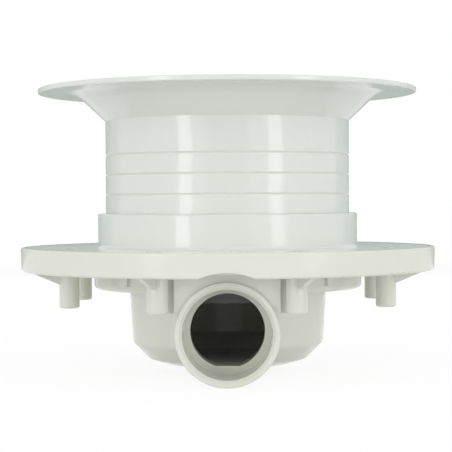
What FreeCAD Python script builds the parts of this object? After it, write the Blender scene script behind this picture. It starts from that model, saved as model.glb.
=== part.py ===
import FreeCAD, Part
import math
import os
from types import SimpleNamespace

import Sketcher

# Floor drain with a side outlet, in millimetres.
# +Z is up and the origin is on the drain axis, in the plane that the flange stands on.
# The outlet points along -Y.
SIZES = {
    # drain body: dished flange
    "flange_dia": 250.0,
    "flange_height": 14.0,
    "flange_draft": 0.4,
    "skirt_wall": 3.0,
    "plate_lift": 2.0,
    "plate_wall": 3.5,
    "flange_top_round": 1.0,
    "flange_foot_round": 1.5,
    # drain body: recess that takes the neck and its seal, and the sump below it
    "seal_room": 4.2,
    "recess_wall": 3.0,
    "recess_depth": 12.4,
    "recess_floor": 4.0,
    "recess_round": 3.0,
    "sump_dia": 119.4,
    "sump_taper": 2.0,
    "sump_wall": 2.5,
    "sump_bevel": 9.7,
    "sump_crown_width": 9.5,
    "sump_crown_drop": 2.85,
    "sump_round": 5.0,
    "sump_base_wall": 3.6,
    "sump_floor_step": 1.2,
    # drain body: outlet socket
    "outlet_drop": 32.4,
    "outlet_reach": 91.6,
    "outlet_proud": 2.6,
    "outlet_wall": 4.1,
    "outlet_round": 0.8,
    "socket_dia": 50.3,
    "socket_depth": 31.0,
    "socket_lead": 1.6,
    "bore_dia": 42.7,
    "shoulder_wall": 3.6,
    "root_wall": 2.15,
    "strip_width": 17.0,
    "block_wall": 4.3,
    "notch_dia": 72.0,
    # drain body: screw bosses and lugs
    "screw_count": 8,
    "screw_circle_dia": 200.0,
    "boss_dia": 11.9,
    "boss_drop": 20.6,
    "boss_round": 1.6,
    "pilot_floor": 3.0,
    "gusset_wall": 3.0,
    "gusset_drop": 6.8,
    "web_wall": 3.0,
    "web_set_back": 2.5,
    "lug_count": 4,
    "lug_width": 4.0,
    "lug_proud": 2.0,
    "lug_drop": 7.2,
    # flange gasket and clamp ring
    "gasket_thick": 2.0,
    "ring_play": 0.6,
    "clamp_thick": 6.3,
    "collar_wall": 4.3,
    "collar_height": 26.6,
    "collar_round": 0.8,
    "collar_foot_round": 2.2,
    # countersunk clamp screws
    "screw_dia": 5.5,
    "screw_end_gap": 1.0,
    "screw_tip": 3.0,
    "head_dia": 10.4,
    "head_land": 0.4,
    "drive_width": 1.3,
    "drive_length": 5.2,
    "drive_depth": 1.4,
    "screw_play": 0.1,
    "hole_play": 0.4,
    # raising piece
    "neck_dia": 147.6,
    "neck_wall": 3.5,
    "neck_play": 0.4,
    "neck_lead": 1.5,
    "raising_height": 115.8,
    "rim_dia": 228.2,
    "rim_thick": 2.9,
    "rim_round": 0.6,
    "cone_top_dia": 182.8,
    "cone_height": 16.5,
    "cone_round": 16.0,
    "groove_from_top": 40.0,
    "groove_pitch": 11.8,
    "groove_count": 3,
    "groove_width": 1.3,
    "groove_depth": 0.7,
    "rebate_wall": 5.4,
    "rebate_depth": 5.0,
    "ledge_width": 4.5,
    # neck seal
    "seat_gap": 0.3,
    "seal_root": 1.8,
    "seal_lip": 0.8,
    "seal_lip_rise": 3.0,
    "seal_low_lip": 6.0,
    # grate
    "grate_play": 0.3,
    "grate_thick": 4.7,
    "grate_edge": 9.7,
    "bar_width": 6.0,
    "slot_width": 7.0,
    "bar_count": 4,
    "bar_thick": 3.2,
    "spoke_count": 8,
    "spoke_width": 5.0,
    # bell trap
    "trap_seal_thick": 2.0,
    "trap_wall": 2.5,
    "pot_play": 0.8,
    "pot_height": 27.0,
    "pot_drop": 12.3,
    "bowl_play": 0.4,
    "pipe_dia": 41.0,
    "pipe_rise": 18.0,
    "bell_gap": 9.5,
    "bell_headroom": 6.2,
    "bell_round": 5.0,
    "foot_count": 3,
    "foot_rise": 4.0,
    "foot_width": 8.0,
    "foot_wall": 2.0,
    "knob_dia": 16.0,
    "knob_rise": 5.0,
}

SHEET = "Sizes"
FULL_TURN = 360.0
# A wall that leans at half a right angle is this much wider where it is cut level.
LEVEL_CUT = math.sqrt(2)
# Down the drain axis, as a sketch that lies flat and one that stands upright see it.
FLAT_DOWN = FreeCAD.Vector(0, 0, -1)
UPRIGHT_DOWN = FreeCAD.Vector(0, -1, 0)
# Two places closer than this are taken as the same when edges are looked up.
NEAR = 0.01


class Size:
    """A length, count or angle: its number, and the sheet expression that gives it."""

    def __init__(self, number, text):
        self.number = number
        self.text = text

    def __add__(self, other):
        other = sized(other)
        return Size(self.number + other.number, f"({self.text} + {other.text})")

    def __sub__(self, other):
        other = sized(other)
        return Size(self.number - other.number, f"({self.text} - {other.text})")

    def __mul__(self, other):
        other = sized(other)
        return Size(self.number * other.number, f"({self.text} * {other.text})")

    def __truediv__(self, other):
        other = sized(other)
        return Size(self.number / other.number, f"({self.text} / {other.text})")

    def __neg__(self):
        return Size(-self.number, f"(-{self.text})")


def sized(value):
    """A plain number as a Size, and a Size as it is."""
    if isinstance(value, Size):
        return value
    return Size(value, repr(value))


def leg_across(radius, angle):
    """How far a radius reaches along +X when it is turned by an angle in degrees."""
    share = Size(math.cos(math.radians(angle.number)), f"cos({angle.text} * 1 deg)")
    return radius * share


def leg_along(radius, angle):
    """How far a radius reaches towards the outlet when it is turned by an angle in degrees."""
    share = Size(math.sin(math.radians(angle.number)), f"sin({angle.text} * 1 deg)")
    return radius * share


def make_sheet(doc):
    """The sheet of driving dimensions, and a Size for each of them by name."""
    sheet = doc.addObject("Spreadsheet::Sheet", SHEET)
    cells = SimpleNamespace()
    for row, (name, value) in enumerate(SIZES.items(), start=1):
        sheet.set(f"A{row}", name)
        sheet.set(f"B{row}", str(value))
        sheet.setAlias(f"B{row}", name)
        setattr(cells, name, Size(value, f"{SHEET}.{name}"))
    doc.recompute()
    return cells


def levels_of(s):
    """Heights and radii that several pieces share, worked out from the driving dimensions."""
    at = SimpleNamespace()
    at.plate_top = s.plate_lift + s.plate_wall
    at.recess_floor = at.plate_top - s.recess_depth
    at.recess_foot = at.recess_floor - s.recess_floor
    at.clamp_seat = at.plate_top + s.gasket_thick
    at.clamp_top = at.clamp_seat + s.clamp_thick
    at.neck_end = at.recess_floor + s.seat_gap
    at.ledge = at.neck_end + s.raising_height - s.rebate_depth
    at.pot_seat = at.recess_floor + s.trap_seal_thick
    at.pot_floor = at.pot_seat - s.pot_drop + s.trap_wall
    at.dish_radius = s.flange_dia / 2 - s.skirt_wall
    at.neck_radius = s.neck_dia / 2
    at.neck_bore = at.neck_radius - s.neck_wall
    at.collar_bore = at.neck_radius + s.neck_play
    at.recess_radius = at.neck_radius + s.seal_room
    at.rebate_radius = s.cone_top_dia / 2 - s.rebate_wall
    at.ledge_bore = at.rebate_radius - s.ledge_width
    at.sump_radius = s.sump_dia / 2
    at.pot_radius = at.neck_bore - s.pot_play
    at.bowl_radius = at.sump_radius - s.sump_wall - s.sump_taper - s.bowl_play
    at.screw_radius = s.screw_circle_dia / 2
    # The first screw stands half a step beside the outlet, counted down from +X to it.
    at.first_screw = sized(FULL_TURN / 4) - sized(FULL_TURN / 2) / s.screw_count
    return at


def new_body(doc, label, height=None, turn=None):
    """An empty body with its label, raised to its height and turned down from +X by an angle."""
    body = doc.addObject("PartDesign::Body", label)
    body.Label = label
    if turn is not None:
        body.Placement.Rotation = FreeCAD.Rotation(FLAT_DOWN, turn.number)
        body.setExpression("Placement.Rotation.Angle", turn.text)
    if height is not None:
        body.setExpression("Placement.Base.z", height.text)
    return body


def origin_feature(body, role):
    """One of the body's own origin planes or axes, by its role."""
    return next(part for part in body.Origin.OriginFeatures if part.Role == role)


def new_sketch(body, name, plane, shift=None, turn=None):
    """An empty sketch on an origin plane, shifted by (x, y, z) and turned about an axis of that plane."""
    sketch = body.newObject("Sketcher::SketchObject", name)
    sketch.AttachmentSupport = [(origin_feature(body, plane), "")]
    sketch.MapMode = "FlatFace"
    if turn is not None:
        axis, angle = turn
        sketch.AttachmentOffset = FreeCAD.Placement(
            FreeCAD.Vector(0, 0, 0), FreeCAD.Rotation(axis, angle.number)
        )
        sketch.setExpression("AttachmentOffset.Rotation.Angle", angle.text)
    for letter, value in (shift or {}).items():
        sketch.setExpression(f"AttachmentOffset.Base.{letter}", value.text)
    return sketch


def hold(sketch, kind, *where, value):
    """A dimension in a sketch, bound to the sheet."""
    value = sized(value)
    index = sketch.addConstraint(Sketcher.Constraint(kind, *where, value.number))
    sketch.setExpression(f"Constraints[{index}]", value.text)


def hold_point(sketch, geometry, end, x, y):
    """Both coordinates of a point, bound to the sheet."""
    hold(sketch, "DistanceX", geometry, end, value=x)
    hold(sketch, "DistanceY", geometry, end, value=y)


def draw_outline(sketch, points):
    """A closed outline of straight runs through the points."""
    corners = [FreeCAD.Vector(sized(x).number, sized(y).number, 0) for x, y in points]
    count = len(corners)
    first = sketch.GeometryCount
    for index, corner in enumerate(corners):
        sketch.addGeometry(Part.LineSegment(corner, corners[(index + 1) % count]), False)
    for index, (x, y) in enumerate(points):
        following = first + (index + 1) % count
        sketch.addConstraint(Sketcher.Constraint("Coincident", first + index, 2, following, 1))
        hold_point(sketch, first + index, 1, x, y)


def outline(body, name, plane, points, **place):
    """A sketch that holds one closed outline."""
    sketch = new_sketch(body, name, plane, **place)
    draw_outline(sketch, points)
    return sketch


def circle(body, name, plane, diameter, x=0.0, y=0.0, **place):
    """A sketch that holds one circle."""
    sketch = new_sketch(body, name, plane, **place)
    centre = FreeCAD.Vector(sized(x).number, sized(y).number, 0)
    ring = Part.Circle(centre, FreeCAD.Vector(0, 0, 1), sized(diameter).number / 2)
    sketch.addGeometry(ring, False)
    hold_point(sketch, 0, 3, x, y)
    hold(sketch, "Diameter", 0, value=diameter)
    return sketch


def add_feature(body, kind, name, sketch):
    """A feature made from a sketch."""
    feature = body.newObject(f"PartDesign::{kind}", name)
    feature.Profile = sketch
    return feature


def turned(body, name, sketch, axis="V_Axis", kind="Revolution"):
    """The sketch turned a full turn about one of its own axes."""
    feature = add_feature(body, kind, name, sketch)
    feature.ReferenceAxis = (sketch, [axis])
    feature.Angle = FULL_TURN
    return settled(body, feature, kind == "Groove")


def raised(body, name, sketch, length, kind="Pad", both_ways=False, backwards=False):
    """The sketch raised, or sunk, by a length."""
    feature = add_feature(body, kind, name, sketch)
    feature.SideType = "Symmetric" if both_ways else "One side"
    feature.Reversed = backwards
    feature.setExpression("Length", sized(length).text)
    return settled(body, feature, kind == "Pocket")


def settled(body, feature, cuts=False):
    """The feature, recomputed, after a test that a cut took some of the material away."""
    before = body.Shape.Volume if cuts else 0.0
    body.Document.recompute()
    if "Invalid" in feature.State:
        raise RuntimeError(f"{body.Label}: {feature.Name} can't be made")
    if cuts and not 0 < body.Shape.Volume < before:
        raise RuntimeError(f"{body.Label}: {feature.Name} cuts nothing")
    return feature


def around(body, name, originals, count):
    """Features repeated evenly about the drain axis."""
    pattern = body.newObject("PartDesign::PolarPattern", name)
    pattern.Originals = originals
    pattern.Axis = (origin_feature(body, "Z_Axis"), [""])
    pattern.Angle = FULL_TURN
    pattern.setExpression("Occurrences", count.text)
    body.Tip = pattern
    return settled(body, pattern)


def mirrored(body, name, originals, plane):
    """Features mirrored across an origin plane."""
    mirror = body.newObject("PartDesign::Mirrored", name)
    mirror.Originals = originals
    mirror.MirrorPlane = (origin_feature(body, plane), [""])
    body.Tip = mirror
    return settled(body, mirror)


def rounded(body, name, radius, wanted):
    """A fillet on the circular edges of the body so far that pass the test."""
    base = body.Tip
    names = []
    for index, edge in enumerate(base.Shape.Edges, start=1):
        if isinstance(edge.Curve, Part.Circle) and wanted(edge.Curve):
            names.append(f"Edge{index}")
    if not names:
        raise RuntimeError(f"{body.Label}: {name} finds no edge")
    fillet = body.newObject("PartDesign::Fillet", name)
    fillet.Base = (base, names)
    fillet.setExpression("Radius", radius.text)
    return settled(body, fillet)


def level_circle(radius, height):
    """A test for circles about the drain axis with this radius at this height."""

    def test(curve):
        on_axis = math.hypot(curve.Center.x, curve.Center.y) < NEAR
        at_height = abs(curve.Center.z - height.number) < NEAR
        return on_axis and at_height and abs(curve.Radius - radius.number) < NEAR

    return test


def drain_body(doc, s, at):
    """Dished flange, neck recess, sump and outlet socket, moulded as one piece."""
    body = new_body(doc, "drain_body")
    flange_radius = s.flange_dia / 2
    flange_foot = flange_radius - s.flange_draft
    ring_radius = at.recess_radius + s.recess_wall
    bore_radius = s.bore_dia / 2
    # The sump floor is a small step above the lowest line of the outlet bore.
    sump_floor = -s.outlet_drop - bore_radius + s.sump_floor_step
    # Outside, the sump ends in a bevel and then a shallow crown.
    sump_base = sump_floor - s.sump_base_wall
    crown_top = sump_base + s.sump_crown_drop
    bevel_top = crown_top + s.sump_bevel
    low_radius = at.sump_radius - s.sump_taper
    crown_radius = low_radius - s.sump_bevel
    base_radius = crown_radius - s.sump_crown_width

    shell = [
        (0, sump_base),
        (base_radius, sump_base),
        (crown_radius, crown_top),
        (low_radius, bevel_top),
        (at.sump_radius, at.recess_foot),
        (ring_radius, at.recess_foot),
        (ring_radius, s.plate_lift),
        (at.dish_radius, s.plate_lift),
        (at.dish_radius, 0),
        (flange_foot, 0),
        (flange_radius, s.flange_height),
        (at.dish_radius, s.flange_height),
        (at.dish_radius, at.plate_top),
        (0, at.plate_top),
    ]
    turned(body, "Shell", outline(body, "ShellOutline", "XZ_Plane", shell))
    rounded(body, "FlangeFoot", s.flange_foot_round, level_circle(flange_foot, sized(0.0)))
    rounded(body, "FlangeTop", s.flange_top_round, level_circle(flange_radius, s.flange_height))
    rounded(body, "RecessFoot", s.recess_round, level_circle(ring_radius, at.recess_foot))
    rounded(body, "BevelTop", s.sump_round, level_circle(low_radius, bevel_top))

    # The outlet block is straight-sided up to the flange and round below the outlet axis.
    plate_middle = s.plate_lift + s.plate_wall / 2
    socket_radius = s.socket_dia / 2
    outlet_radius = socket_radius + s.outlet_wall
    block_half = socket_radius + s.block_wall
    block_reach = s.outlet_reach - s.outlet_proud
    block = [
        (-block_half, -s.outlet_drop),
        (block_half, -s.outlet_drop),
        (block_half, plate_middle),
        (-block_half, plate_middle),
    ]
    raised(body, "Block", outline(body, "BlockOutline", "XZ_Plane", block), block_reach)
    socket_end = s.outlet_reach - s.socket_depth
    root_end = socket_end - s.shoulder_wall
    spout = [
        (-base_radius, 0),
        (-s.outlet_reach, 0),
        (-s.outlet_reach, outlet_radius),
        (-block_reach, outlet_radius),
        (-block_reach, block_half),
        (-root_end, block_half),
        (-base_radius, bore_radius + s.root_wall),
    ]
    outlet = {"y": -s.outlet_drop}
    spout_sketch = outline(body, "SpoutOutline", "YZ_Plane", spout, shift=outlet)
    turned(body, "Spout", spout_sketch, "H_Axis")

    # Each boss hangs from the plate and leans on the skirt through a gusset.
    boss_turn = (FLAT_DOWN, at.first_screw)
    boss_radius = s.boss_dia / 2
    boss_foot = {"z": -s.boss_drop}
    boss_sketch = circle(
        body, "BossCircle", "XY_Plane", s.boss_dia, at.screw_radius, shift=boss_foot, turn=boss_turn
    )
    boss = raised(body, "Boss", boss_sketch, s.boss_drop + plate_middle)
    skirt_middle = at.dish_radius + s.skirt_wall / 2
    gusset = [
        (at.screw_radius, -s.gusset_drop),
        (at.screw_radius + boss_radius, -s.gusset_drop),
        (at.dish_radius, 0),
        (skirt_middle, s.flange_foot_round),
        (skirt_middle, plate_middle),
        (at.screw_radius, plate_middle),
    ]
    gusset_turn = (UPRIGHT_DOWN, at.first_screw)
    gusset_sketch = outline(body, "GussetOutline", "XZ_Plane", gusset, turn=gusset_turn)
    brace = raised(body, "Gusset", gusset_sketch, s.gusset_wall, both_ways=True)
    around(body, "Bosses", [boss, brace], s.screw_count)

    def boss_end(curve):
        at_foot = abs(curve.Center.z + s.boss_drop.number) < NEAR
        return at_foot and abs(curve.Radius - boss_radius.number) < NEAR

    rounded(body, "BossEnds", s.boss_round, boss_end)

    # A full-height web, a little behind the block's face, ties the block to the boss on either side.
    boss_across = leg_across(at.screw_radius, at.first_screw)
    boss_along = leg_along(at.screw_radius, at.first_screw)
    web_root = block_half - s.web_wall
    web_front = block_reach - s.web_set_back
    web = [
        (web_root, -web_front),
        (boss_across - boss_radius / 2, -web_front),
        (boss_across, -boss_along),
        (boss_across, -web_front + s.web_wall),
        (web_root, -web_front + s.web_wall),
    ]
    web_sketch = outline(body, "WebOutline", "XY_Plane", web, shift=boss_foot)
    web_pad = raised(body, "Web", web_sketch, s.boss_drop + plate_middle)
    mirrored(body, "Webs", [web_pad], "YZ_Plane")

    # Small lugs stand on the recess wall, midway between the outlet and the sides.
    lug_half = s.lug_width / 2
    lug_root = at.recess_radius + s.recess_wall / 2
    lug_end = ring_radius + s.lug_proud
    lug = [(lug_root, -lug_half), (lug_end, -lug_half), (lug_end, lug_half), (lug_root, lug_half)]
    lug_turn = (FLAT_DOWN, sized(FULL_TURN / 2) / s.lug_count)
    lug_sketch = outline(body, "LugOutline", "XY_Plane", lug, shift={"z": -s.lug_drop}, turn=lug_turn)
    lug_pad = raised(body, "Lug", lug_sketch, s.lug_drop + plate_middle)
    around(body, "Lugs", [lug_pad], s.lug_count)

    # The inside, one open space from the dish down to the sump floor.
    inner_top = at.sump_radius - s.sump_wall
    inner_low = low_radius - s.sump_wall
    bevel_wall = s.sump_wall * LEVEL_CUT
    inner_base = low_radius - (bevel_top - sump_floor) - bevel_wall
    inside = [
        (0, sump_floor),
        (inner_base, sump_floor),
        (inner_low, bevel_top + bevel_wall - s.sump_wall),
        (inner_top, at.recess_floor),
        (at.recess_radius, at.recess_floor),
        (at.recess_radius, s.flange_height),
        (0, s.flange_height),
    ]
    turned(body, "Inside", outline(body, "InsideOutline", "XZ_Plane", inside), kind="Groove")

    # Pipe socket with a lead-in, its shoulder, and the bore through to the edge of the sump floor.
    bore_start = inner_base - s.sump_wall
    socket = [
        (-s.outlet_reach, 0),
        (-s.outlet_reach, socket_radius + s.socket_lead),
        (-s.outlet_reach + s.socket_lead, socket_radius),
        (-socket_end, socket_radius),
        (-socket_end, bore_radius),
        (-bore_start, bore_radius),
        (-bore_start, 0),
    ]
    socket_sketch = outline(body, "SocketOutline", "YZ_Plane", socket, shift=outlet)
    turned(body, "Socket", socket_sketch, "H_Axis", kind="Groove")

    # The bore's lowest strip is filled level with the sump floor.
    strip_half = s.strip_width / 2
    strip_foot = -s.outlet_drop - bore_radius - s.root_wall / 2
    strip = [
        (-strip_half, strip_foot),
        (strip_half, strip_foot),
        (strip_half, sump_floor),
        (-strip_half, sump_floor),
    ]
    strip_sketch = outline(body, "StripOutline", "XZ_Plane", strip, shift={"z": bore_start})
    raised(body, "Strip", strip_sketch, socket_end - bore_start)

    # The skirt is notched above the outlet, so that a fitting can pass below the flange.
    notch_start = at.dish_radius - s.skirt_wall
    notch_depth = flange_radius - notch_start + s.skirt_wall
    notch = circle(
        body, "NotchCircle", "XZ_Plane", s.notch_dia, 0.0, -s.outlet_drop, shift={"z": notch_start}
    )
    raised(body, "Notch", notch, notch_depth, kind="Pocket", backwards=True)

    pilot_dia = s.screw_dia + s.screw_play * 2
    pilot_start = {"z": at.plate_top}
    pilot_sketch = circle(
        body, "PilotCircle", "XY_Plane", pilot_dia, at.screw_radius, shift=pilot_start, turn=boss_turn
    )
    pilot_depth = at.plate_top + s.boss_drop - s.pilot_floor
    pilot = raised(body, "Pilot", pilot_sketch, pilot_depth, kind="Pocket")
    around(body, "Pilots", [pilot], s.screw_count)

    def outlet_mouth(curve):
        at_mouth = abs(curve.Center.y + s.outlet_reach.number) < NEAR
        return at_mouth and abs(curve.Radius - outlet_radius.number) < NEAR

    rounded(body, "OutletMouth", s.outlet_round, outlet_mouth)
    return body


def flange_gasket(doc, s, at):
    """Flat rubber ring in the dish, under the clamp ring."""
    body = new_body(doc, "flange_gasket", at.plate_top, at.first_screw)
    inner = at.recess_radius + s.ring_play
    outer = at.dish_radius - s.ring_play
    section = [(inner, 0), (outer, 0), (outer, s.gasket_thick), (inner, s.gasket_thick)]
    turned(body, "Ring", outline(body, "RingOutline", "XZ_Plane", section))
    hole = circle(body, "HoleCircle", "XY_Plane", s.screw_dia + s.hole_play * 2, at.screw_radius)
    cut = raised(body, "Hole", hole, s.gasket_thick, kind="Pocket", backwards=True)
    around(body, "Holes", [cut], s.screw_count)
    return body


def countersink(s, top, play):
    """Half section of a countersunk screw's head and shank down from top, with play all round."""
    shank = s.screw_dia / 2 + play
    head = s.head_dia / 2 + play
    land = top - s.head_land
    return shank, head, land, land - (head - shank)


def clamp_ring(doc, s, at):
    """Flat ring that clamps the membrane, with the collar that guides the neck."""
    body = new_body(doc, "clamp_ring", at.clamp_seat, at.first_screw)
    outer = at.dish_radius - s.ring_play
    collar = at.collar_bore + s.collar_wall
    section = [
        (at.collar_bore, 0),
        (outer, 0),
        (outer, s.clamp_thick),
        (collar, s.clamp_thick),
        (collar, s.collar_height),
        (at.collar_bore, s.collar_height),
    ]
    turned(body, "Ring", outline(body, "RingOutline", "XZ_Plane", section))
    rounded(body, "CollarTop", s.collar_round, level_circle(collar, s.collar_height))
    rounded(body, "CollarFoot", s.collar_foot_round, level_circle(collar, s.clamp_thick))
    shank, head, land, cone_foot = countersink(s, s.clamp_thick, s.screw_play)
    seat = [
        (0, 0),
        (shank, 0),
        (shank, cone_foot),
        (head, land),
        (head, s.clamp_thick),
        (0, s.clamp_thick),
    ]
    seat_sketch = outline(body, "SeatOutline", "XZ_Plane", seat, shift={"x": at.screw_radius})
    cut = turned(body, "Seat", seat_sketch, kind="Groove")
    around(body, "Seats", [cut], s.screw_count)
    return body


def clamp_screws(doc, s, at):
    """Countersunk cross-head screws from the clamp ring into the bosses."""
    body = new_body(doc, "clamp_screws", at.clamp_top, at.first_screw)
    shank, head, land, cone_foot = countersink(s, sized(0.0), sized(0.0))
    # Each screw ends a small gap above the floor of its pilot hole.
    end = -at.clamp_top - s.boss_drop + s.pilot_floor + s.screw_end_gap
    tip_radius = shank / 4
    section = [
        (0, 0),
        (head, 0),
        (head, land),
        (shank, cone_foot),
        (shank, end + s.screw_tip),
        (tip_radius, end),
        (0, end),
    ]
    sketch = outline(body, "ScrewOutline", "XZ_Plane", section, shift={"x": at.screw_radius})
    screw = turned(body, "Screw", sketch)
    long_half = s.drive_length / 2
    slim_half = s.drive_width / 2
    drive = [
        (slim_half, slim_half),
        (slim_half, long_half),
        (-slim_half, long_half),
        (-slim_half, slim_half),
        (-long_half, slim_half),
        (-long_half, -slim_half),
        (-slim_half, -slim_half),
        (-slim_half, -long_half),
        (slim_half, -long_half),
        (slim_half, -slim_half),
        (long_half, -slim_half),
        (long_half, slim_half),
    ]
    cross = outline(body, "DriveOutline", "XY_Plane", drive, shift={"x": at.screw_radius})
    recess = raised(body, "Drive", cross, s.drive_depth, kind="Pocket")
    around(body, "Screws", [screw, recess], s.screw_count)
    return body


def raising_piece(doc, s, at):
    """Neck with cutting grooves, opening through a cone into the wide rim."""
    body = new_body(doc, "raising_piece", at.neck_end)
    rim_foot = s.raising_height - s.rim_thick
    cone_foot = rim_foot - s.cone_height
    cone_top = s.cone_top_dia / 2
    rim_radius = s.rim_dia / 2
    ledge = s.raising_height - s.rebate_depth
    # The cone's inner face runs beside its outer face, up to the ledge that the grate lies on.
    slope = s.cone_height / (cone_top - at.neck_radius)
    inner_foot = cone_foot + s.neck_wall / 2
    inner_top = inner_foot + slope * (at.ledge_bore - at.neck_bore)
    section = [
        (at.neck_bore, 0),
        (at.neck_radius - s.neck_lead, 0),
        (at.neck_radius, s.neck_lead),
        (at.neck_radius, cone_foot),
        (cone_top, rim_foot),
        (rim_radius, rim_foot),
        (rim_radius, s.raising_height),
        (at.rebate_radius, s.raising_height),
        (at.rebate_radius, ledge),
        (at.ledge_bore, ledge),
        (at.ledge_bore, inner_top),
        (at.neck_bore, inner_foot),
    ]
    turned(body, "Shell", outline(body, "ShellOutline", "XZ_Plane", section))
    rounded(body, "RimTop", s.rim_round, level_circle(rim_radius, s.raising_height))
    rounded(body, "RimFoot", s.rim_round, level_circle(rim_radius, rim_foot))
    rounded(body, "ConeTop", s.cone_round, level_circle(cone_top, rim_foot))
    groove_height = s.raising_height - s.groove_from_top
    groove_bottom = at.neck_radius - s.groove_depth
    beyond = at.neck_radius + s.groove_depth
    groove = [
        (groove_bottom, groove_height),
        (beyond, groove_height - s.groove_width),
        (beyond, groove_height + s.groove_width),
    ]
    cut = turned(body, "Groove", outline(body, "GrooveOutline", "XZ_Plane", groove), kind="Groove")
    rows = body.newObject("PartDesign::LinearPattern", "Grooves")
    rows.Originals = [cut]
    rows.Direction = (origin_feature(body, "Z_Axis"), [""])
    rows.Reversed = True
    rows.setExpression("Length", (s.groove_pitch * (s.groove_count - 1)).text)
    rows.setExpression("Occurrences", s.groove_count.text)
    body.Tip = rows
    settled(body, rows)
    return body


def neck_seal(doc, s, at):
    """Rubber ring with two lips, in the recess around the foot of the neck."""
    body = new_body(doc, "neck_seal", at.recess_floor)
    outer = at.recess_radius - s.seat_gap
    root = outer - s.seal_root
    lip = at.neck_radius + s.seat_gap
    top = at.clamp_seat - at.recess_floor - s.seat_gap
    section = [
        (root, 0),
        (outer, 0),
        (outer, top),
        (lip, top),
        (lip, top - s.seal_lip),
        (root, top - s.seal_lip_rise),
        (root, s.seal_low_lip),
        (lip, s.seal_low_lip),
        (lip, s.seal_low_lip - s.seal_lip),
        (root, s.seal_low_lip - s.seal_lip_rise),
    ]
    turned(body, "Ring", outline(body, "RingOutline", "XZ_Plane", section))
    return body


def grate(doc, s, at):
    """Round grate of concentric bars on spokes, lying in the rim's rebate."""
    body = new_body(doc, "grate", at.ledge)
    outer = at.rebate_radius - s.grate_play
    foot = s.grate_thick - s.bar_thick
    top = s.grate_thick
    rings = new_sketch(body, "RingOutlines", "XZ_Plane")
    inner = outer - s.grate_edge
    edge = [
        (inner, foot),
        (at.ledge_bore, foot),
        (at.ledge_bore, 0),
        (outer, 0),
        (outer, top),
        (inner, top),
    ]
    draw_outline(rings, edge)
    for _ in range(s.bar_count.number):
        far = inner - s.slot_width
        inner = far - s.bar_width
        draw_outline(rings, [(inner, foot), (far, foot), (far, top), (inner, top)])
    hub = inner - s.slot_width
    draw_outline(rings, [(0, foot), (hub, foot), (hub, top), (0, top)])
    turned(body, "Rings", rings)
    half = s.spoke_width / 2
    spoke = [(0, -half), (at.ledge_bore, -half), (at.ledge_bore, half), (0, half)]
    spoke_sketch = outline(body, "SpokeOutline", "XY_Plane", spoke)
    around(body, "Spokes", [raised(body, "Spoke", spoke_sketch, s.grate_thick)], s.spoke_count)
    return body


def trap_seal(doc, s, at):
    """Flat rubber ring between the recess floor and the trap pot."""
    body = new_body(doc, "trap_seal", at.recess_floor)
    inner = at.sump_radius
    outer = at.pot_radius
    section = [(inner, 0), (outer, 0), (outer, s.trap_seal_thick), (inner, s.trap_seal_thick)]
    turned(body, "Ring", outline(body, "RingOutline", "XZ_Plane", section))
    return body


def trap_pot(doc, s, at):
    """Stepped water pot with its standpipe, hanging in the top of the sump."""
    body = new_body(doc, "trap_pot", at.pot_seat)
    pipe_outer = s.pipe_dia / 2
    pipe_inner = pipe_outer - s.trap_wall
    rim_inner = at.pot_radius - s.trap_wall
    bowl_inner = at.bowl_radius - s.trap_wall
    floor = -s.pot_drop + s.trap_wall
    section = [
        (pipe_inner, -s.pot_drop),
        (at.bowl_radius, -s.pot_drop),
        (at.bowl_radius, 0),
        (at.pot_radius, 0),
        (at.pot_radius, s.pot_height),
        (rim_inner, s.pot_height),
        (rim_inner, s.trap_wall),
        (bowl_inner, s.trap_wall),
        (bowl_inner, floor),
        (pipe_outer, floor),
        (pipe_outer, s.pipe_rise),
        (pipe_inner, s.pipe_rise),
    ]
    turned(body, "Pot", outline(body, "PotOutline", "XZ_Plane", section))
    return body


def trap_bell(doc, s, at):
    """Bell over the standpipe, standing in the pot on short feet."""
    body = new_body(doc, "trap_bell", at.pot_floor)
    inner = s.pipe_dia / 2 + s.bell_gap
    outer = inner + s.trap_wall
    pipe_top = at.pot_seat + s.pipe_rise - at.pot_floor
    ceiling = pipe_top + s.bell_headroom
    top = ceiling + s.trap_wall
    knob = s.knob_dia / 2
    knob_top = top + s.knob_rise
    section = [
        (inner, s.foot_rise),
        (outer, s.foot_rise),
        (outer, top),
        (knob, top),
        (knob, knob_top),
        (0, knob_top),
        (0, ceiling),
        (inner, ceiling),
    ]
    turned(body, "Bell", outline(body, "BellOutline", "XZ_Plane", section))
    rounded(body, "Shoulder", s.bell_round, level_circle(outer, top))
    middle = outer - s.trap_wall / 2
    near = middle - s.foot_wall / 2
    far = middle + s.foot_wall / 2
    half = s.foot_width / 2
    foot = [(near, -half), (far, -half), (far, half), (near, half)]
    foot_sketch = outline(body, "FootOutline", "XY_Plane", foot)
    pad = raised(body, "Foot", foot_sketch, s.foot_rise + s.trap_wall)
    around(body, "Feet", [pad], s.foot_count)
    return body


def check(doc, bodies):
    """Stops if an object failed or a sub-part has no valid shape."""
    for item in doc.Objects:
        if {"Invalid", "Error"} & set(item.State):
            raise RuntimeError(f"{item.Name} failed: {item.State}")
    for body in bodies:
        if body.Shape.isNull() or not body.Shape.isValid():
            raise RuntimeError(f"{body.Label} has no valid shape")


def main():
    doc = FreeCAD.newDocument("floor_drain")
    s = make_sheet(doc)
    at = levels_of(s)
    makers = (
        drain_body,
        flange_gasket,
        clamp_ring,
        clamp_screws,
        raising_piece,
        neck_seal,
        grate,
        trap_seal,
        trap_pot,
        trap_bell,
    )
    bodies = [make(doc, s, at) for make in makers]
    doc.recompute()
    check(doc, bodies)
    os.makedirs("parts", exist_ok=True)
    for body in bodies:
        body.Shape.exportStep(f"parts/{body.Label}.step")
        print(body.Label, "solids", len(body.Shape.Solids), "volume", round(body.Shape.Volume))


main()
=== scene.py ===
import math

import bpy
from mathutils import Euler, Matrix, Vector


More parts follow.
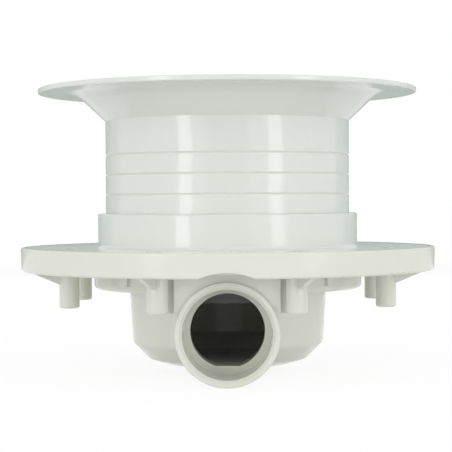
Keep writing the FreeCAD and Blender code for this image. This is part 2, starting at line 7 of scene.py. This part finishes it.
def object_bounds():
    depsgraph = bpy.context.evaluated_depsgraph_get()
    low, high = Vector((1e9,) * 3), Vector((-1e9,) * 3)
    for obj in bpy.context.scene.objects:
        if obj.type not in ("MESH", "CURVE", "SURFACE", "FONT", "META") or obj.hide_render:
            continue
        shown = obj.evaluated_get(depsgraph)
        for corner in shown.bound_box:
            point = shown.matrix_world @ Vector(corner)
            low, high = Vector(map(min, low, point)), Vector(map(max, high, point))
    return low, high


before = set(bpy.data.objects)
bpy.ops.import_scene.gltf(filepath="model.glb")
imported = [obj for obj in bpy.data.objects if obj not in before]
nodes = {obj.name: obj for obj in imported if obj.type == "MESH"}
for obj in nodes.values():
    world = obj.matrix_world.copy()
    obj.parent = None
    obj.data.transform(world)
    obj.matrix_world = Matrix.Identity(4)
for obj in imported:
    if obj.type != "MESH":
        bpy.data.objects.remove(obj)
cad_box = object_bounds()

# The photograph's frame in pixels, and its camera in metres and degrees, with the sensor in millimetres.
IMAGE_SIDE = 452
FOCAL_PIXELS = 1514.0
SENSOR = 36.0
CAMERA_PLACE = (-0.00097, -0.922, 0.0418)
CAMERA_TURN = 0.35
CAMERA_PITCH = -0.965
CAMERA_ROLL = -0.3

# Degrees from looking straight down to looking level, for the camera and the strip lights.
UPRIGHT = 90.0

# Two upright strip lights in front: azimuths in degrees, widths in metres, and how bright they look.
STRIP_DISTANCE = 1.0
STRIP_HEIGHT = 0.36
LEFT_STRIP = {"azimuth": -37.6, "width": 0.21, "level": 3.2}
RIGHT_STRIP = {"azimuth": 43.6, "width": 0.23, "level": 2.75}

# Two low cards, a dark one behind the camera and a grey one behind the object.
FRONT_CARD = {"place": -1.3, "width": 0.9, "low": -0.02, "high": 0.20, "shade": (0.02, 0.02, 0.02)}
BACK_CARD = {"place": 1.2, "width": 4.2, "low": -0.06, "high": 0.25, "shade": (0.47, 0.555, 0.50)}
CARD_ROUGHNESS = 1.0

# The room's light on matt surfaces: an even part, and more from each of these sides. The light from the
# front's two sides fades out upwards, and ROOM_SIDES_TOP is the sine of the elevation where it ends.
ROOM_WHITE = (1.0, 1.0, 1.0)
ROOM_EVEN = 0.48
ROOM_LEFT = 0.28
ROOM_RIGHT = 0.335
ROOM_FRONT_SIDES = 3.30
ROOM_FRONT_HIGH = 0.69
ROOM_SIDES_TOP = 0.5

# The floor is seen as a plain white glow with a share of its own lit shade.
FLOOR_REACH = 30.0
FLOOR_SHADE = (0.86, 0.86, 0.86)
FLOOR_ROUGHNESS = 0.9
FLOOR_GLOW = 0.90
FLOOR_SHARE = 0.15

# Finishes, as linear colours.
COOL_WHITE = (0.814, 0.845, 0.803)
COOL_SHADE = (0.799, 0.830, 0.790)
CREAM_WHITE = (0.822, 0.834, 0.752)
CREAM_SHADE = (0.803, 0.815, 0.728)
# The trap insert's greys: its plastic, and also painted shade for the inside of the drain's bore.
DARK_GREY = (0.110, 0.112, 0.108)
MID_GREY = (0.130, 0.132, 0.127)
BLACK_RUBBER = (0.018, 0.018, 0.017)
GREY_RUBBER = (0.030, 0.030, 0.029)
BRIGHT_STEEL = (0.62, 0.62, 0.60)
DULL_STEEL = (0.45, 0.45, 0.44)
PLASTIC_IOR = 1.5
FULL_METAL = 1.0

# The middle stretch of a noise's values, which is spread over the range of a finish.
NOISE_START = 0.3
NOISE_STOP = 0.7
NOISE_DETAIL = 2.0

# How strongly large faces lead the shading of the small roundings beside them: 50 is evenly, 100 the most.
LARGE_FACES = 100


def rgba(colour):
    """A colour with full alpha."""
    return (*colour, 1.0)


class NodeTree:
    """A node tree, with short ways to add its nodes."""

    def __init__(self, tree):
        self.tree = tree

    def add(self, kind, **settings):
        """A new node with these settings."""
        node = self.tree.nodes.new(kind)
        for name, value in settings.items():
            setattr(node, name, value)
        return node

    def join(self, start, end):
        """Links an output to an input."""
        self.tree.links.new(start, end)

    def maths(self, operation, *values):
        """A maths node's result, each value being a number or another node's output."""
        node = self.add("ShaderNodeMath", operation=operation)
        for socket, value in zip(node.inputs, values):
            if isinstance(value, float):
                socket.default_value = value
            else:
                self.join(value, socket)
        return node.outputs["Value"]

    def seen(self):
        """One where the tree's colour is seen, directly, mirrored or through glass, and else zero."""
        path = self.add("ShaderNodeLightPath")
        direct = path.outputs["Is Camera Ray"]
        mirrored = path.outputs["Is Glossy Ray"]
        through = path.outputs["Is Transmission Ray"]
        return self.maths("MAXIMUM", direct, self.maths("MAXIMUM", mirrored, through))


class Surface(NodeTree):
    """A material's node tree."""

    def __init__(self, name):
        self.material = bpy.data.materials.new(name)
        self.material.use_nodes = True
        super().__init__(self.material.node_tree)
        self.tree.nodes.clear()
        self.shader = self.add("ShaderNodeBsdfPrincipled")
        self.end = self.add("ShaderNodeOutputMaterial")
        self.join(self.shader.outputs["BSDF"], self.end.inputs["Surface"])
        self.place = self.add("ShaderNodeTexCoord").outputs["Object"]
        self.normal = None

    def fix(self, name, value):
        """Sets one of the shader's own sockets, the same all over the surface."""
        self.shader.inputs[name].default_value = value

    def noise(self, size, detail=NOISE_DETAIL, stretch=(1.0, 1.0, 1.0)):
        """Noise with lumps of about this size in metres, with its scale on each axis times stretch."""
        mapping = self.add("ShaderNodeMapping")
        mapping.inputs["Scale"].default_value = stretch
        self.join(self.place, mapping.inputs["Vector"])
        noise = self.add("ShaderNodeTexNoise")
        noise.inputs["Scale"].default_value = 1.0 / size
        noise.inputs["Detail"].default_value = detail
        self.join(mapping.outputs["Vector"], noise.inputs["Vector"])
        return noise.outputs["Fac"]

    def spread(self, noise, low, high):
        """The middle stretch of a noise, spread over a range."""
        node = self.add("ShaderNodeMapRange")
        node.inputs["From Min"].default_value = NOISE_START
        node.inputs["From Max"].default_value = NOISE_STOP
        node.inputs["To Min"].default_value = low
        node.inputs["To Max"].default_value = high
        self.join(noise, node.inputs["Value"])
        return node.outputs["Result"]

    def colours(self, first, second, **lumps):
        """A base colour that varies between two colours, in lumps of noise."""
        mix = self.add("ShaderNodeMix", data_type="RGBA")
        ends = {"A": first, "B": second}
        for socket in mix.inputs:
            if socket.type == "RGBA":
                socket.default_value = rgba(ends[socket.name])
        self.join(self.spread(self.noise(**lumps), 0.0, 1.0), mix.inputs["Factor"])
        colour = next(socket for socket in mix.outputs if socket.type == "RGBA")
        self.join(colour, self.shader.inputs["Base Color"])

    def roughness(self, low, high, **lumps):
        """A roughness that varies over a range, in lumps of noise."""
        self.join(self.spread(self.noise(**lumps), low, high), self.shader.inputs["Roughness"])

    def bump(self, height, strength, **lumps):
        """Bumps of this height in metres, in lumps of noise, on top of the bumps made before."""
        bump = self.add("ShaderNodeBump")
        bump.inputs["Distance"].default_value = height
        bump.inputs["Strength"].default_value = strength
        self.join(self.noise(**lumps), bump.inputs["Height"])
        if self.normal is not None:
            self.join(self.normal, bump.inputs["Normal"])
        self.normal = bump.outputs["Normal"]
        self.join(self.normal, self.shader.inputs["Normal"])


def gloss_plastic():
    """Cool white plastic from a polished mould, with a faint waviness."""
    surface = Surface("cool_white_plastic")
    surface.colours(COOL_WHITE, COOL_SHADE, size=0.05)
    surface.roughness(low=0.11, high=0.14, size=0.040, detail=0.0)
    surface.fix("IOR", PLASTIC_IOR)
    surface.bump(height=0.0006, strength=0.03, size=0.060, detail=0.0)
    return surface.material


def satin_plastic():
    """Cream white plastic from a plain mould, slightly wavy and grained."""
    surface = Surface("cream_plastic")
    surface.colours(CREAM_WHITE, CREAM_SHADE, size=0.04)
    surface.roughness(low=0.10, high=0.17, size=0.010)
    surface.fix("IOR", PLASTIC_IOR)
    surface.bump(height=0.0006, strength=0.05, size=0.040, detail=0.0)
    surface.bump(height=0.00004, strength=0.10, size=0.0012)
    return surface.material


def grey_plastic():
    """Dark grey plastic of the trap insert, whose darkness is also painted shade for the inside of the
    drain's bore.
    """
    surface = Surface("dark_grey_plastic_and_bore_shade")
    surface.colours(DARK_GREY, MID_GREY, size=0.03)
    surface.roughness(low=0.30, high=0.42, size=0.010)
    surface.bump(height=0.00005, strength=0.2, size=0.0012)
    return surface.material


def black_rubber():
    """Matt black seal rubber."""
    surface = Surface("seal_rubber")
    surface.colours(BLACK_RUBBER, GREY_RUBBER, size=0.006)
    surface.roughness(low=0.55, high=0.75, size=0.004)
    surface.bump(height=0.00005, strength=0.5, size=0.0005, detail=4.0)
    return surface.material


def bright_steel():
    """Bright screw steel with fine marks across the screw's axis."""
    surface = Surface("screw_steel")
    surface.colours(BRIGHT_STEEL, DULL_STEEL, size=0.003)
    surface.fix("Metallic", FULL_METAL)
    surface.roughness(low=0.22, high=0.38, size=0.002)
    surface.bump(height=0.00003, strength=0.3, size=0.0004, stretch=(1.0, 1.0, 4.0))
    return surface.material


def dress():
    """Gives every node of the frame the finish of its slot, and even shading over its small roundings."""
    finishes = {
        "cream_plastic": satin_plastic(),
        "white_plastic": gloss_plastic(),
        "grey_plastic": grey_plastic(),
        "rubber": black_rubber(),
        "steel": bright_steel(),
    }
    for node in nodes.values():
        slot = node.data.materials[0].name
        node.data.materials[0] = finishes[slot]
        shading = node.modifiers.new("even_shading", "WEIGHTED_NORMAL")
        shading.mode = "FACE_AREA"
        shading.weight = LARGE_FACES


def around_object(azimuth, distance, height):
    """A place round the drain axis, with azimuth 0 at the camera."""
    angle = math.radians(azimuth)
    return Vector((math.sin(angle) * distance, -math.cos(angle) * distance, height))


def add_strip(name, azimuth, width, level):
    """An upright strip light at the camera's height that faces the drain axis."""
    height = CAMERA_PLACE[2]
    light = bpy.data.lights.new(name, "AREA")
    light.shape = "RECTANGLE"
    light.size = width
    light.size_y = STRIP_HEIGHT
    light.energy = math.pi * width * STRIP_HEIGHT * level
    strip = bpy.data.objects.new(name, light)
    strip.location = around_object(azimuth, STRIP_DISTANCE, height)
    strip.rotation_euler = Euler((math.radians(UPRIGHT), 0.0, math.radians(azimuth)))
    strip.visible_camera = False
    bpy.context.scene.collection.objects.link(strip)


def add_room():
    """A room that is seen as plain white, and lights matt surfaces more from some sides."""
    world = bpy.data.worlds.new("room")
    world.use_nodes = True
    room = NodeTree(world.node_tree)
    background = world.node_tree.nodes["Background"]
    background.inputs["Color"].default_value = rgba(ROOM_WHITE)
    split = room.add("ShaderNodeSeparateXYZ")
    room.join(room.add("ShaderNodeTexCoord").outputs["Generated"], split.inputs["Vector"])
    right, back, up = (split.outputs[axis] for axis in "XYZ")
    left = room.maths("MULTIPLY", right, -1.0)
    front = room.maths("MULTIPLY", back, -1.0)
    fading = room.maths("MULTIPLY_ADD", up, -1.0 / ROOM_SIDES_TOP, 1.0)
    low = room.maths("MAXIMUM", fading, 0.0)
    high = room.maths("MAXIMUM", up, 0.0)
    aside = room.maths("MULTIPLY", room.maths("ABSOLUTE", right), low)
    gains = {
        left: ROOM_LEFT,
        right: ROOM_RIGHT,
        room.maths("MULTIPLY", front, aside): ROOM_FRONT_SIDES,
        room.maths("MULTIPLY", front, high): ROOM_FRONT_HIGH,
    }
    level = ROOM_EVEN
    for side, gain in gains.items():
        facing = room.maths("MAXIMUM", side, 0.0)
        level = room.maths("MULTIPLY_ADD", facing, gain, level)
    white = room.seen()
    unseen = room.maths("SUBTRACT", 1.0, white)
    room.join(room.maths("MULTIPLY_ADD", unseen, level, white), background.inputs["Strength"])
    bpy.context.scene.world = world


def add_quad(name, corners, material):
    """A flat surface of the studio with four corners."""
    mesh = bpy.data.meshes.new(name)
    mesh.from_pydata(corners, [], [range(len(corners))])
    mesh.materials.append(material)
    quad = bpy.data.objects.new(name, mesh)
    bpy.context.scene.collection.objects.link(quad)
    return quad


def add_card(name, place, width, low, high, shade):
    """An upright studio card across Y, which the object sees and the camera doesn't."""
    half = width / 2
    corners = [(-half, place, low), (half, place, low), (half, place, high), (-half, place, high)]
    surface = Surface(name)
    surface.fix("Base Color", rgba(shade))
    surface.fix("Roughness", CARD_ROUGHNESS)
    card = add_quad(name, corners, surface.material)
    card.visible_camera = False


def floor_material():
    """White floor that takes the object's shadow: part of what is seen of it is its own plain white."""
    surface = Surface("floor")
    surface.fix("Base Color", rgba(FLOOR_SHADE))
    surface.fix("Roughness", FLOOR_ROUGHNESS)
    glow = surface.add("ShaderNodeEmission")
    glow.inputs["Strength"].default_value = FLOOR_GLOW / (1.0 - FLOOR_SHARE)
    white = surface.add("ShaderNodeMixShader")
    share = surface.maths("MULTIPLY", surface.seen(), 1.0 - FLOOR_SHARE)
    lit, plain = (socket for socket in white.inputs if socket.type == "SHADER")
    surface.join(share, white.inputs["Fac"])
    surface.join(surface.shader.outputs["BSDF"], lit)
    surface.join(glow.outputs["Emission"], plain)
    surface.join(white.outputs["Shader"], surface.end.inputs["Surface"])
    return surface.material


def add_floor():
    """A wide floor under the lowest point of the drain."""
    low = cad_box[0].z
    corners = [
        (-FLOOR_REACH, -FLOOR_REACH, low),
        (FLOOR_REACH, -FLOOR_REACH, low),
        (FLOOR_REACH, FLOOR_REACH, low),
        (-FLOOR_REACH, FLOOR_REACH, low),
    ]
    floor = add_quad("floor", corners, floor_material())


def add_camera():
    """The camera at the photograph's place."""
    data = bpy.data.cameras.new("camera")
    data.sensor_width = SENSOR
    data.lens = FOCAL_PIXELS / IMAGE_SIDE * SENSOR
    data.clip_end = 2.0 * FLOOR_REACH
    camera = bpy.data.objects.new("camera", data)
    level = Matrix.Rotation(math.radians(UPRIGHT + CAMERA_PITCH), 4, "X")
    roll = Matrix.Rotation(math.radians(CAMERA_ROLL), 4, "Z")
    turn = Matrix.Rotation(math.radians(CAMERA_TURN), 4, "Z")
    camera.matrix_world = turn @ Matrix.Translation(CAMERA_PLACE) @ level @ roll
    bpy.context.scene.collection.objects.link(camera)
    bpy.context.scene.camera = camera


dress()
add_room()
add_strip("left_strip", **LEFT_STRIP)
add_strip("right_strip", **RIGHT_STRIP)
add_card("front_card", **FRONT_CARD)
add_card("back_card", **BACK_CARD)
add_floor()
add_camera()
bpy.context.scene.view_settings.view_transform = "Standard"
